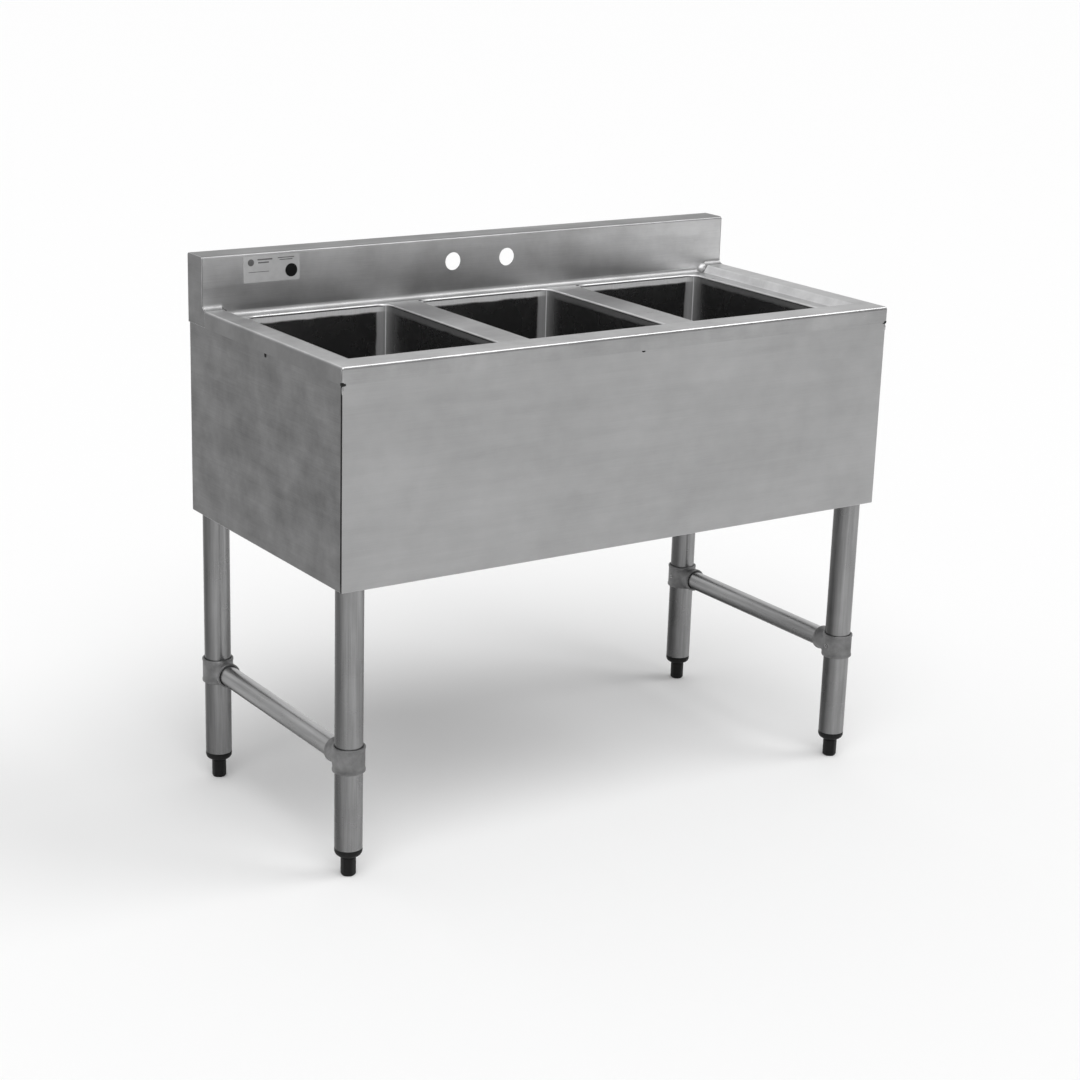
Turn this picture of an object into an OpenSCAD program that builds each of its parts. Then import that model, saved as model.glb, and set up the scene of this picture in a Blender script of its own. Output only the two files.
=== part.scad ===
// Three compartment sink: a marine-edge deck with a backsplash, three deep drawn bowls with basket
// drains, an apron on three sides, and four tube legs tied in pairs by side rails.
// Millimetres. Origin on the floor under the middle, +X right, +Y to the rear, +Z up.

/* [Body] */
// Overall width, left to right
body_w = 977.9; // [970:0.1:1000]
// Overall depth, front to rear
body_d = 476.25; // [470:0.25:500]
// Height of the raised rim above the floor
rim_z = 762; // [740:1:800]
// Height of the folded flange around the rim
flange_h = 25.4; // [20:0.1:30]
// Thickness of the stainless sheet
sheet = 1.5; // [1.2:0.1:1.6]
// Height of the apron's lower edge above the floor
apron_z = 441; // [435:1:445]

/* [Deck] */
// Width of the flat rim at each end
rim_side = 32; // [28:1:34]
// Width of the flat rim at the front
rim_front = 45; // [42:1:46]
// Drop from the rim to the deck around the bowls
deck_drop = 12.6; // [10:0.1:14]

/* [Backsplash] */
// Rise of the backsplash above the rim
splash_h = 80; // [75:1:120]
// Thickness of the backsplash, front face to rear
splash_t = 48; // [44:1:52]
// Distance between the two faucet holes
faucet_pitch = 101.6; // [95:0.1:110]
// Diameter of a faucet hole
faucet_d = 28.6; // [22:0.1:32]
// Height of the faucet holes above the rim
faucet_rise = 42; // [35:1:45]

/* [Bowls] */
// Width of a bowl opening
bowl_w = 246; // [230:1:248]
// Length of a bowl opening, front to rear
bowl_l = 355.6; // [340:0.1:356]
// Depth of a bowl below the deck
bowl_h = 254; // [240:1:256]
// Distance between neighbouring bowl centres
bowl_pitch = 302; // [298:1:302]
// Cove radius of the bowl's corners
cove_r = 19; // [12:1:22]

/* [Drains] */
// Diameter of the drain hole in a bowl
drain_hole_d = 88.9; // [86:0.1:92]
// Outside diameter of the drain outlet thread
outlet_d = 48.26; // [44:0.01:50]
// Depth of the drain cup below the bowl floor
cup_depth = 27; // [25:1:30]
// Length of the outlet below the cup
outlet_l = 28; // [20:1:30]

/* [Legs] */
// Outside diameter of a leg tube
leg_d = 41.3; // [40:0.1:42]
// Distance of each leg from the middle, sideways
leg_x = 459.2; // [458:0.1:460]
// Front leg centre
leg_front_y = -209; // [-209:0.5:-208]
// Rear leg centre
leg_rear_y = 213.5; // [205:0.5:213.5]
// Height of a leg tube's lower end
leg_foot_z = 43; // [40:1:46]
// Height of the left side rail
left_rail_z = 182; // [150:1:250]
// Height of the right side rail
right_rail_z = 196; // [150:1:250]
// Outside diameter of a side rail
rail_d = 31.75; // [30:0.01:32]
// Diameter of a foot's stem
foot_d = 22.7; // [20:0.1:24]

/* [Hidden] */
$fn = 64;
left = -1;
right = 1;
front = -1;
rear = 1;

// Heights and edges that the other pieces share
front_y = -body_d / 2;
rear_y = body_d / 2;
end_x = body_w / 2;
splash_y = rear_y - splash_t;
top_z = rim_z + splash_h;
flange_z = rim_z - flange_h;
deck_z = rim_z - deck_drop;
floor_z = deck_z - bowl_h;

// Deck: the sloped step from the rim down to the bowls
step_run_side = 9;
step_run_front = 6;
pit_half_x = end_x - rim_side - step_run_side;
pit_front_y = front_y + rim_front + step_run_front;
slope_grow = 1.25;

// Bowls
bowl_rear_gap = 14;
bowl_y = splash_y - bowl_rear_gap - bowl_l / 2;
bowl_outer_x = bowl_pitch + bowl_w / 2 + sheet;

// Aprons stand just inside the flange and end in a folded hem
apron_gap = 0.1;
apron_x = end_x - sheet - apron_gap;
apron_y = front_y + sheet + apron_gap;
apron_top_z = rim_z - 4;
hem = 12;

// Backsplash
splash_lip = 25.4;
faucet_z = rim_z + faucet_rise;

// Rear channel
channel_drop = 36;
channel_foot = 26;

// Leg channels and sockets
leg_channel_x0 = bowl_outer_x + 0.8;
leg_channel_x1 = apron_x - 2 * sheet - 0.15;
leg_channel_z = 520;
leg_channel_h = 20;
leg_channel_t = 2;
socket_d = 47.6;
socket_bore = 41.9;
socket_z = 446;
socket_screw_z = 465;
leg_wall = 1.5;
leg_top_z = leg_channel_z - 5;

// Collars and rails
collar_d = 48.6;
collar_bore = 41.7;
collar_h = 38;
collar_edge = 1.5;
tee_d = 39;
tee_bore = rail_d + 0.35;
tee_reach = 40;
tee_screw_y = 32;
rail_gap = 1;
set_screw_d = 6;
set_screw_l = 3.3;
hex_key_d = 3.5;
screw_clear = 0.2;
bolt_head_d = 11.5;
bolt_head_h = 4;

// Feet
shoulder_z = 31;
insert_top_z = 75;
insert_clear = 0.25;
foot_clear = 0.3;
foot_top_z = 78;
foot_edge = 1;

// Drains, measured from the bowl floor
cup_r = 42.5;
cup_wall = 2.5;
cup_base = 3;
drain_flange_r = 57;
drain_flange_t = 2.5;
drain_edge_t = 0.8;
outlet_wall = 3.6;
gasket_t = 3;
locknut_t = 8;
locknut_r = 52;
locknut_lugs = 6;
lug_w = 10;
lug_reach = 4;
gasket_r = 54;
thread_gap = 0.3;

// Strainer basket
basket_r = 38.2;
basket_wall = 1.2;
basket_gap = 0.2;
basket_top = -3;
basket_rings = [[12, 8], [20, 12], [28, 18]];
basket_hole_d = 4;
post_d = 7;
knob_d = 16;
knob_t = 4;
knob_top = -1;

// Label plate on the backsplash
label_x = -420;
label_w = 94.5;
label_z = top_z - 45;
label_h = 40;
label_t = 0.6;

steel = "silver";
dark_steel = "gray";
black = [0.1, 0.1, 0.11];

function leg_y(end) = end == front ? leg_front_y : leg_rear_y;
function rail_z(side) = side == left ? left_rail_z : right_rail_z;

// ---- shared shapes -------------------------------------------------------------------------

// A box given by its lowest and highest corners
module span(low, high) {
    translate(low) cube(high - low);
}

// A rectangle with true round corners
module round_rect(w, l, r) {
    square([w - 2 * r, l], center = true);
    square([w, l - 2 * r], center = true);
    for (x = [-1, 1], y = [-1, 1])
        translate([x * (w / 2 - r), y * (l / 2 - r)]) circle(r);
}

// A block with round vertical corners and a coved lower edge, standing on z = 0
module coved_block(w, l, h, r) {
    half_x = w / 2 - r;
    half_y = l / 2 - r;
    translate([0, 0, r]) linear_extrude(h - r) round_rect(w, l, r);
    span([-half_x, -half_y, 0], [half_x, half_y, h]);
    for (side = [-1, 1]) {
        translate([side * half_x, 0, r]) rotate([90, 0, 0]) cylinder(r = r, h = 2 * half_y, center = true);
        translate([0, side * half_y, r]) rotate([0, 90, 0]) cylinder(r = r, h = 2 * half_x, center = true);
        for (end = [-1, 1]) translate([side * half_x, end * half_y, r]) sphere(r);
    }
}

// A tube standing on z = 0
module tube(d, bore, h) {
    difference() {
        cylinder(d = d, h = h);
        translate([0, 0, -1]) cylinder(d = bore, h = h + 2);
    }
}

// The deck's sunken part, grown by g for the sheet below it
module deck_pit(g) {
    low = deck_z - g;
    high = rim_z + 1;
    function half_x(z) = pit_half_x + (z - deck_z) * step_run_side / deck_drop + g * slope_grow;
    function edge_y(z) = pit_front_y - (z - deck_z) * step_run_front / deck_drop - g * slope_grow;
    intersection() {
        translate([0, splash_y + 2, 0]) rotate([90, 0, 0]) linear_extrude(body_d)
            polygon([[-half_x(low), low], [half_x(low), low], [half_x(high), high], [-half_x(high), high]]);
        rotate([90, 0, 90]) linear_extrude(body_w, center = true)
            polygon([[edge_y(low), low], [splash_y + 2, low], [splash_y + 2, high], [edge_y(high), high]]);
    }
}

// ---- top ---------------------------------------------------------------------------------------

module deck() {
    color(steel) difference() {
        span([-end_x, front_y, flange_z], [end_x, splash_y, rim_z]);
        deck_pit(0);
        difference() {
            span([sheet - end_x, front_y + sheet, flange_z - 1], [end_x - sheet, splash_y + 1, rim_z - sheet]);
            deck_pit(sheet);
        }
        for (i = [-1, 0, 1])
            translate([i * bowl_pitch, bowl_y, deck_z - 5])
                linear_extrude(10) round_rect(bowl_w, bowl_l, cove_r);
    }
}

module backsplash() {
    profile = [
        [splash_y, flange_z], [splash_y + sheet, flange_z],
        [splash_y + sheet, top_z - sheet], [rear_y - sheet, top_z - sheet],
        [rear_y - sheet, top_z - splash_lip], [rear_y, top_z - splash_lip],
        [rear_y, top_z], [splash_y, top_z]
    ];
    color(steel) difference() {
        rotate([90, 0, 90]) linear_extrude(body_w - 2 * sheet, center = true) polygon(profile);
        for (side = [-1, 1])
            translate([side * faucet_pitch / 2, splash_y - 1, faucet_z])
                rotate([-90, 0, 0]) cylinder(d = faucet_d, h = sheet + 2);
    }
}

module backsplash_cap(side) {
    color(steel) translate([side * (end_x - sheet / 2), 0, 0])
        span([-sheet / 2, splash_y, flange_z], [sheet / 2, rear_y, top_z]);
}

module bowl(i) {
    color(steel) translate([i * bowl_pitch, bowl_y, floor_z]) difference() {
        translate([0, 0, -sheet]) coved_block(bowl_w + 2 * sheet, bowl_l + 2 * sheet, bowl_h, cove_r + sheet);
        coved_block(bowl_w, bowl_l, bowl_h, cove_r);
        translate([0, 0, -10]) cylinder(d = drain_hole_d, h = 20);
    }
}

// ---- aprons and channels -----------------------------------------------------------------------

module apron_front() {
    hem_x = apron_x - sheet - 0.3;
    hem_y = apron_y + sheet;
    color(steel) {
        span([-apron_x, apron_y, apron_z], [apron_x, hem_y, apron_top_z]);
        span([-hem_x, hem_y, apron_z], [hem_x, hem_y + sheet, apron_z + hem]);
    }
}

// An end apron: the sheet, its folded lower hem and its folded rear hem
module apron_end(side) {
    near_y = apron_y + sheet;
    far_y = rear_y - 2;
    outline = [
        [near_y, apron_z], [far_y, apron_z], [far_y, flange_z - 0.2],
        [splash_y - 0.2, flange_z - 0.2], [splash_y - 0.2, apron_top_z], [near_y, apron_top_z]
    ];
    hems = [
        [near_y + sheet + 0.1, apron_z], [far_y, apron_z], [far_y, flange_z - 0.2],
        [far_y - hem, flange_z - 0.2], [far_y - hem, apron_z + hem], [near_y + sheet + 0.1, apron_z + hem]
    ];
    color(steel) {
        translate([side * (apron_x - sheet / 2), 0, 0])
            rotate([90, 0, 90]) linear_extrude(sheet, center = true) polygon(outline);
        translate([side * (apron_x - 1.5 * sheet), 0, 0])
            rotate([90, 0, 90]) linear_extrude(sheet, center = true) polygon(hems);
    }
}

module rear_channel() {
    back_y = rear_y - 2;
    low_z = flange_z - channel_drop;
    profile = [
        [splash_y, flange_z], [back_y, flange_z], [back_y, low_z], [back_y - channel_foot, low_z],
        [back_y - channel_foot, low_z + sheet], [back_y - sheet, low_z + sheet],
        [back_y - sheet, flange_z - sheet], [splash_y, flange_z - sheet]
    ];
    color(dark_steel) rotate([90, 0, 90]) linear_extrude(2 * leg_channel_x1, center = true) polygon(profile);
}

// The U-shaped channel beside an end bowl that carries one pair of leg sockets
module leg_channel(side) {
    w = leg_channel_x1 - leg_channel_x0;
    length = body_d - 8;
    t = leg_channel_t;
    color(dark_steel) translate([side * (leg_channel_x0 + w / 2), 0, leg_channel_z]) difference() {
        span([-w / 2, -length / 2, 0], [w / 2, length / 2, leg_channel_h]);
        span([t - w / 2, -body_d, t], [w / 2 - t, body_d, leg_channel_h + 1]);
    }
}

// ---- legs --------------------------------------------------------------------------------------

module socket(side, end) {
    color(dark_steel) translate([side * leg_x, leg_y(end), socket_z]) difference() {
        tube(socket_d, socket_bore, leg_channel_z - socket_z);
        translate([0, 0, socket_screw_z - socket_z]) rotate([end * 90, 0, 0])
            cylinder(d = set_screw_d + screw_clear, h = socket_d);
    }
}

module leg(side, end) {
    color(steel) translate([side * leg_x, leg_y(end), leg_foot_z])
        tube(leg_d, leg_d - 2 * leg_wall, leg_top_z - leg_foot_z);
}

// A cast tee: a collar around the leg with a socket for the rail, which points along +Y
module tee_collar(screw_side) {
    half = collar_h / 2;
    edge = collar_edge;
    difference() {
        union() {
            translate([0, 0, edge - half]) cylinder(d = collar_d, h = collar_h - 2 * edge);
            for (flip = [0, 180]) rotate([flip, 0, 0]) translate([0, 0, half - edge])
                cylinder(d1 = collar_d, d2 = collar_d - 2 * edge, h = edge);
            rotate([-90, 0, 0]) cylinder(d = tee_d, h = tee_reach);
        }
        cylinder(d = collar_bore, h = collar_h + 2, center = true);
        rotate([-90, 0, 0]) cylinder(d = tee_bore, h = tee_reach + 1);
        rotate([0, screw_side * 90, 0]) cylinder(d = set_screw_d + screw_clear, h = collar_d);
        translate([0, tee_screw_y, 0]) rotate([180, 0, 0])
            cylinder(d = set_screw_d + screw_clear, h = collar_d);
    }
}

module collar(side, end) {
    color(dark_steel) translate([side * leg_x, leg_y(end), rail_z(side)])
        rotate([0, 0, end == front ? 0 : 180]) tee_collar(side * end);
}

module rail(side) {
    start = leg_front_y + leg_d / 2 + rail_gap;
    length = leg_rear_y - leg_d / 2 - rail_gap - start;
    color(steel) translate([side * leg_x, start, rail_z(side)])
        rotate([-90, 0, 0]) tube(rail_d, rail_d - 2 * leg_wall, length);
}

// The plastic insert pressed into a leg's lower end, with a rounded shoulder
module foot_insert(side, end) {
    r = leg_d / 2;
    bore_r = foot_d / 2 + foot_clear;
    plug_r = r - leg_wall - insert_clear;
    round_h = leg_foot_z - shoulder_z - 4;
    round_w = 4;
    arc = [for (a = [0 : 15 : 90]) [r - round_w + round_w * cos(a), shoulder_z + round_h - round_h * sin(a)]];
    color(black) translate([side * leg_x, leg_y(end), 0]) rotate_extrude() polygon(concat(
        [[bore_r, insert_top_z], [plug_r, insert_top_z], [plug_r, leg_foot_z], [r, leg_foot_z]],
        arc, [[bore_r, shoulder_z]]
    ));
}

module foot(side, end) {
    r = foot_d / 2;
    color(black) translate([side * leg_x, leg_y(end), 0]) rotate_extrude() polygon([
        [0, 0], [r - foot_edge, 0], [r, foot_edge], [r, foot_top_z - foot_edge], [r - foot_edge, foot_top_z],
        [0, foot_top_z]
    ]);
}

// ---- drains ------------------------------------------------------------------------------------

module at_drain(i) {
    translate([i * bowl_pitch, bowl_y, floor_z]) children();
}

module drain_body(i) {
    inner_r = cup_r - cup_wall;
    outlet_r = outlet_d / 2;
    bore_r = outlet_r - outlet_wall;
    low = -cup_depth - outlet_l;
    color(steel) at_drain(i) rotate_extrude() polygon([
        [inner_r, drain_flange_t], [drain_flange_r, drain_edge_t], [drain_flange_r, 0],
        [cup_r, 0], [cup_r, -cup_depth], [outlet_r, -cup_depth], [outlet_r, low],
        [bore_r, low], [bore_r, cup_base - cup_depth], [inner_r, cup_base - cup_depth]
    ]);
}

module drain_gasket(i) {
    color(black) at_drain(i) translate([0, 0, -sheet - gasket_t])
        tube(2 * gasket_r, 2 * (cup_r + thread_gap), gasket_t);
}

module drain_locknut(i) {
    color(dark_steel) at_drain(i) translate([0, 0, -sheet - gasket_t - locknut_t]) difference() {
        union() {
            cylinder(r = locknut_r, h = locknut_t);
            for (a = [0 : locknut_lugs - 1]) rotate([0, 0, a * 360 / locknut_lugs])
                span([cup_r + 1, -lug_w / 2, 0], [locknut_r + lug_reach, lug_w / 2, locknut_t]);
        }
        translate([0, 0, -1]) cylinder(r = cup_r + thread_gap, h = locknut_t + 2);
    }
}

// The lift-out basket: a perforated floor, a rim wall and a post with a knob
module strainer(i) {
    base = cup_base - cup_depth + basket_gap;
    color(steel) at_drain(i) {
        difference() {
            translate([0, 0, base]) cylinder(r = basket_r, h = basket_top - base);
            translate([0, 0, base + basket_wall]) cylinder(r = basket_r - basket_wall, h = cup_depth);
            for (ring = basket_rings, k = [0 : ring[1] - 1]) rotate([0, 0, k * 360 / ring[1]])
                translate([ring[0], 0, base - 1]) cylinder(d = basket_hole_d, h = basket_wall + 2, $fn = 24);
        }
        translate([0, 0, base]) cylinder(d = post_d, h = knob_top - base);
        translate([0, 0, knob_top - knob_t]) cylinder(d = knob_d, h = knob_t);
    }
}

// ---- small pieces ------------------------------------------------------------------------------

module label_plate() {
    color("white") translate([label_x, splash_y - label_t, label_z]) cube([label_w, label_t, label_h]);
}

// A hexagon head bolt along +Z, whose shank starts at z = 0
module bolt(shank) {
    cylinder(d = set_screw_d, h = shank + bolt_head_h / 2);
    translate([0, 0, shank]) cylinder(d = bolt_head_d, h = bolt_head_h, $fn = 6);
}

module socket_screws() {
    reach = (socket_d - socket_bore) / 2;
    color(dark_steel) for (side = [left, right], end = [front, rear])
        translate([side * leg_x, leg_y(end) - end * socket_bore / 2, socket_screw_z])
            rotate([end * 90, 0, 0]) bolt(reach);
}

// A headless screw along +Z with a hexagon socket in its outer end
module set_screw() {
    difference() {
        cylinder(d = set_screw_d, h = set_screw_l);
        translate([0, 0, 1.2]) cylinder(d = hex_key_d, h = set_screw_l, $fn = 6);
    }
}

module collar_screws() {
    color(dark_steel) for (side = [left, right], end = [front, rear])
        translate([side * leg_x, leg_y(end), rail_z(side)]) {
            rotate([0, -side * 90, 0]) translate([0, 0, collar_bore / 2]) set_screw();
            translate([0, -end * tee_screw_y, 0])
                rotate([180, 0, 0]) translate([0, 0, tee_bore / 2]) set_screw();
        }
}

deck();
backsplash();
backsplash_cap(left);  // backsplash_cap_left
backsplash_cap(right);  // backsplash_cap_right
bowl(-1);  // bowl_left
bowl(0);  // bowl_centre
bowl(1);  // bowl_right
apron_front();
apron_end(left);  // apron_left
apron_end(right);  // apron_right
rear_channel();
leg_channel(left);  // leg_channel_left
leg_channel(right);  // leg_channel_right
socket(left, front);  // socket_front_left
socket(right, front);  // socket_front_right
socket(left, rear);  // socket_rear_left
socket(right, rear);  // socket_rear_right
leg(left, front);  // leg_front_left
leg(right, front);  // leg_front_right
leg(left, rear);  // leg_rear_left
leg(right, rear);  // leg_rear_right
collar(left, front);  // collar_front_left
collar(right, front);  // collar_front_right
collar(left, rear);  // collar_rear_left
collar(right, rear);  // collar_rear_right
rail(left);  // rail_left
rail(right);  // rail_right
foot_insert(left, front);  // foot_insert_front_left
foot_insert(right, front);  // foot_insert_front_right
foot_insert(left, rear);  // foot_insert_rear_left
foot_insert(right, rear);  // foot_insert_rear_right
foot(left, front);  // foot_front_left
foot(right, front);  // foot_front_right
foot(left, rear);  // foot_rear_left
foot(right, rear);  // foot_rear_right
drain_body(-1);  // drain_body_left
drain_body(0);  // drain_body_centre
drain_body(1);  // drain_body_right
drain_gasket(-1);  // drain_gasket_left
drain_gasket(0);  // drain_gasket_centre
drain_gasket(1);  // drain_gasket_right
drain_locknut(-1);  // drain_locknut_left
drain_locknut(0);  // drain_locknut_centre
drain_locknut(1);  // drain_locknut_right
strainer(-1);  // strainer_left
strainer(0);  // strainer_centre
strainer(1);  // strainer_right
label_plate();
socket_screws();
collar_screws();
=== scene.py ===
"""The looks of a three compartment sink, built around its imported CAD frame.

Everything is in metres in the frame's axes: +X right, +Y rear, +Z up.
"""

import math

import bmesh
import bpy
import numpy as np
from mathutils import Matrix, Vector


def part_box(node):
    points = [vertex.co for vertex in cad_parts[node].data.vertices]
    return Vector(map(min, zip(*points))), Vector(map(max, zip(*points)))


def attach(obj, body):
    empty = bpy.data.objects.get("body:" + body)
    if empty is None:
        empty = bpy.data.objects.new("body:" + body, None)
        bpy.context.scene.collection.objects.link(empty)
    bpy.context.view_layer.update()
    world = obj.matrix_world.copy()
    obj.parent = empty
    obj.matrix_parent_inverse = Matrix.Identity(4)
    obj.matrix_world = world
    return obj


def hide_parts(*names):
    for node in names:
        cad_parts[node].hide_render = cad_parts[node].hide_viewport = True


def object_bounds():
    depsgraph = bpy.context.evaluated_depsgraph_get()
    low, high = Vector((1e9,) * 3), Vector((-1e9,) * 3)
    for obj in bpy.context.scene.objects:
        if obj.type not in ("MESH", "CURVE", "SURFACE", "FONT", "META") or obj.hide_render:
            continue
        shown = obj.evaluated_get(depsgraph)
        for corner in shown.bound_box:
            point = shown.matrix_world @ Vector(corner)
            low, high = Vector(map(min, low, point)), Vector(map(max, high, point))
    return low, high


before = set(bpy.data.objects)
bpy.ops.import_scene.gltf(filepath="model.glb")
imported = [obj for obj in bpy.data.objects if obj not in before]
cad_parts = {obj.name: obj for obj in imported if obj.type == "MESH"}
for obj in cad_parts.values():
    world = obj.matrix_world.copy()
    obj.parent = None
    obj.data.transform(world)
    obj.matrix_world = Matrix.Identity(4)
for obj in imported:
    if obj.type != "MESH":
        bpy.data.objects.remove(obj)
cad_low, cad_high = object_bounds()

MM = 0.001
SHEET = 1.5 * MM
BOWLS = ("left", "centre", "right")
SIDES = {"left": -1, "right": 1}
ENDS = {"front": -1, "rear": 1}

# Edges and heights that come from the CAD
deck_low, deck_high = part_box("deck")
END_X = deck_high.x
FRONT_Y = deck_low.y
SPLASH_Y = deck_high.y
FLANGE_Z = deck_low.z
RIM_Z = deck_high.z
splash_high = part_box("backsplash")[1]
REAR_Y = splash_high.y
TOP_Z = splash_high.z
bowl_low, bowl_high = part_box("bowl_centre")
DECK_Z = bowl_high.z + SHEET
FLOOR_Z = bowl_low.z + SHEET
BOWL_HALF_W = (bowl_high.x - bowl_low.x) / 2 - SHEET
BOWL_HALF_L = (bowl_high.y - bowl_low.y) / 2 - SHEET
BOWL_Y = (bowl_high.y + bowl_low.y) / 2
BOWL_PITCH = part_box("bowl_right")[1].x - bowl_high.x

# Bends of the folded sheet
EDGE_BEND = 5.5 * MM
STEP_BLEND = 3 * MM
SPLASH_COVE = 9 * MM
SPLASH_BEND = 4 * MM
SPLASH_LIP = 25.4 * MM
ROLL = 3 * MM
COVE = 19 * MM
RIM_CORNER_R = 2.5 * MM

# The groove and the notch at each front corner of the flange
GROOVE = 1.1 * MM
NOTCH_W = 3.5 * MM
NOTCH_H = 3.6 * MM

# The rim and the step down to the deck: width at the ends and at the front
RIM_SIDE = 32 * MM
RIM_FRONT = 45 * MM
STEP_SIDE = 9 * MM
STEP_FRONT = 6 * MM

FAUCET_PITCH = 101.6 * MM
FAUCET_R = 14.3 * MM
FAUCET_Z = RIM_Z + 42 * MM


# ---- mesh tools ------------------------------------------------------------------------------------


def place(obj, material, body, replaces=()):
    """Gives a new object its material and its place in the frame."""
    obj.data.materials.append(material)
    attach(obj, body)
    if replaces:
        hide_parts(*replaces)
    return obj


def finish_mesh(bm, name, smooth_deg=32):
    """Turns a bmesh into a smooth-shaded object whose flat faces stay flat."""
    mesh = bpy.data.meshes.new(name)
    bm.to_mesh(mesh)
    bm.free()
    mesh.shade_smooth()
    mesh.set_sharp_from_angle(angle=math.radians(smooth_deg))
    obj = bpy.data.objects.new(name, mesh)
    bpy.context.scene.collection.objects.link(obj)
    return obj


def weighted(obj):
    """Keeps the shading of flat faces flat beside narrow bends."""
    split = obj.modifiers.new("sharp", "EDGE_SPLIT")
    split.split_angle = math.radians(32)
    modifier = obj.modifiers.new("normals", "WEIGHTED_NORMAL")
    modifier.keep_sharp = True
    modifier.weight = 100
    return obj


def thicken(obj):
    """Gives a skin its sheet thickness, on the side away from its normals."""
    modifier = obj.modifiers.new("sheet", "SOLIDIFY")
    modifier.thickness = SHEET
    modifier.offset = -1
    modifier.use_even_offset = True
    return obj


def soften(obj, width, segments=2, angle_deg=35):
    """Rounds an object's sharp edges."""
    modifier = obj.modifiers.new("edges", "BEVEL")
    modifier.width = width
    modifier.segments = segments
    modifier.limit_method = "ANGLE"
    modifier.angle_limit = math.radians(angle_deg)
    return obj


def add_rows(bm, rows, closed=False, flip=False):
    """Adds a skin through rows of points, each row the same length. Returns the rows of vertices."""
    verts = [[bm.verts.new(p) for p in row] for row in rows]
    count = len(rows[0])
    for low, high in zip(verts, verts[1:]):
        for i in range(count if closed else count - 1):
            j = (i + 1) % count
            face = [low[i], low[j], high[j], high[i]]
            bm.faces.new(face[::-1] if flip else face)
    return verts


def lathe(bm, profile, centre=(0, 0, 0), segments=64, closed=True):
    """Adds a surface of revolution about +Z through centre. The profile is (radius, height) points."""
    cx, cy, cz = centre
    rows = []
    for step in range(segments):
        a = 2 * math.pi * step / segments
        rows.append([(cx + r * math.cos(a), cy + r * math.sin(a), cz + z) for r, z in profile])
    rows.append(rows[0])
    add_rows(bm, rows, closed=closed)


def weld_points(bm):
    """Joins points that coincide and makes the faces of closed shapes face outwards."""
    bmesh.ops.remove_doubles(bm, verts=bm.verts, dist=0.01 * MM)
    bmesh.ops.recalc_face_normals(bm, faces=bm.faces)


def arc(cx, cy, radius, start_deg, end_deg, steps):
    """Points along an arc, both ends included."""
    points = []
    for i in range(steps + 1):
        a = math.radians(start_deg + (end_deg - start_deg) * i / steps)
        points.append((cx + radius * math.cos(a), cy + radius * math.sin(a)))
    return points


def rounded_rect(half_w, half_l, radius, corner_steps=6, side_steps=6):
    """A closed loop of (x, y) points, anticlockwise from the middle of the right side."""
    corners = [(1, 1, 0), (-1, 1, 90), (-1, -1, 180), (1, -1, 270)]
    loop = []
    for sx, sy, start in corners:
        cx = sx * (half_w - radius)
        cy = sy * (half_l - radius)
        loop.append(arc(cx, cy, radius, start, start + 90, corner_steps))
    points = []
    for i, corner in enumerate(loop):
        from_x, from_y = loop[i - 1][-1]
        to_x, to_y = corner[0]
        for k in range(1, side_steps):
            t = k / side_steps
            points.append((from_x + (to_x - from_x) * t, from_y + (to_y - from_y) * t))
        points += corner
    return points


def blend_corners(points, sizes, steps=4):
    """Replaces each inner point of a polyline by a short smooth curve, which starts its size away."""
    result = [Vector(points[0])]
    for before, corner, after, size in zip(points, points[1:], points[2:], sizes):
        corner = Vector(corner)
        reach_in = Vector(before) - corner
        reach_out = Vector(after) - corner
        start = corner + reach_in * min(0.45, size / reach_in.length)
        end = corner + reach_out * min(0.45, size / reach_out.length)
        for i in range(steps + 1):
            t = i / steps
            result.append(start * (1 - t) ** 2 + corner * 2 * t * (1 - t) + end * t**2)
    result.append(Vector(points[-1]))
    return result


def fill_with_holes(bm, outline, holes, normal):
    """Fills a flat outline of vertices, leaving each hole of vertices open."""
    edges = []
    for loop in [outline, *holes]:
        for a, b in zip(loop, loop[1:] + loop[:1]):
            edges.append(bm.edges.get((a, b)) or bm.edges.new((a, b)))
    bmesh.ops.triangle_fill(bm, edges=edges, use_beauty=True, normal=normal)


# ---- materials -------------------------------------------------------------------------------------

# How much darker faces out of the sink's ends are than level faces: painted shade.
END_PAINTED_SHADE = 0.29


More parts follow.
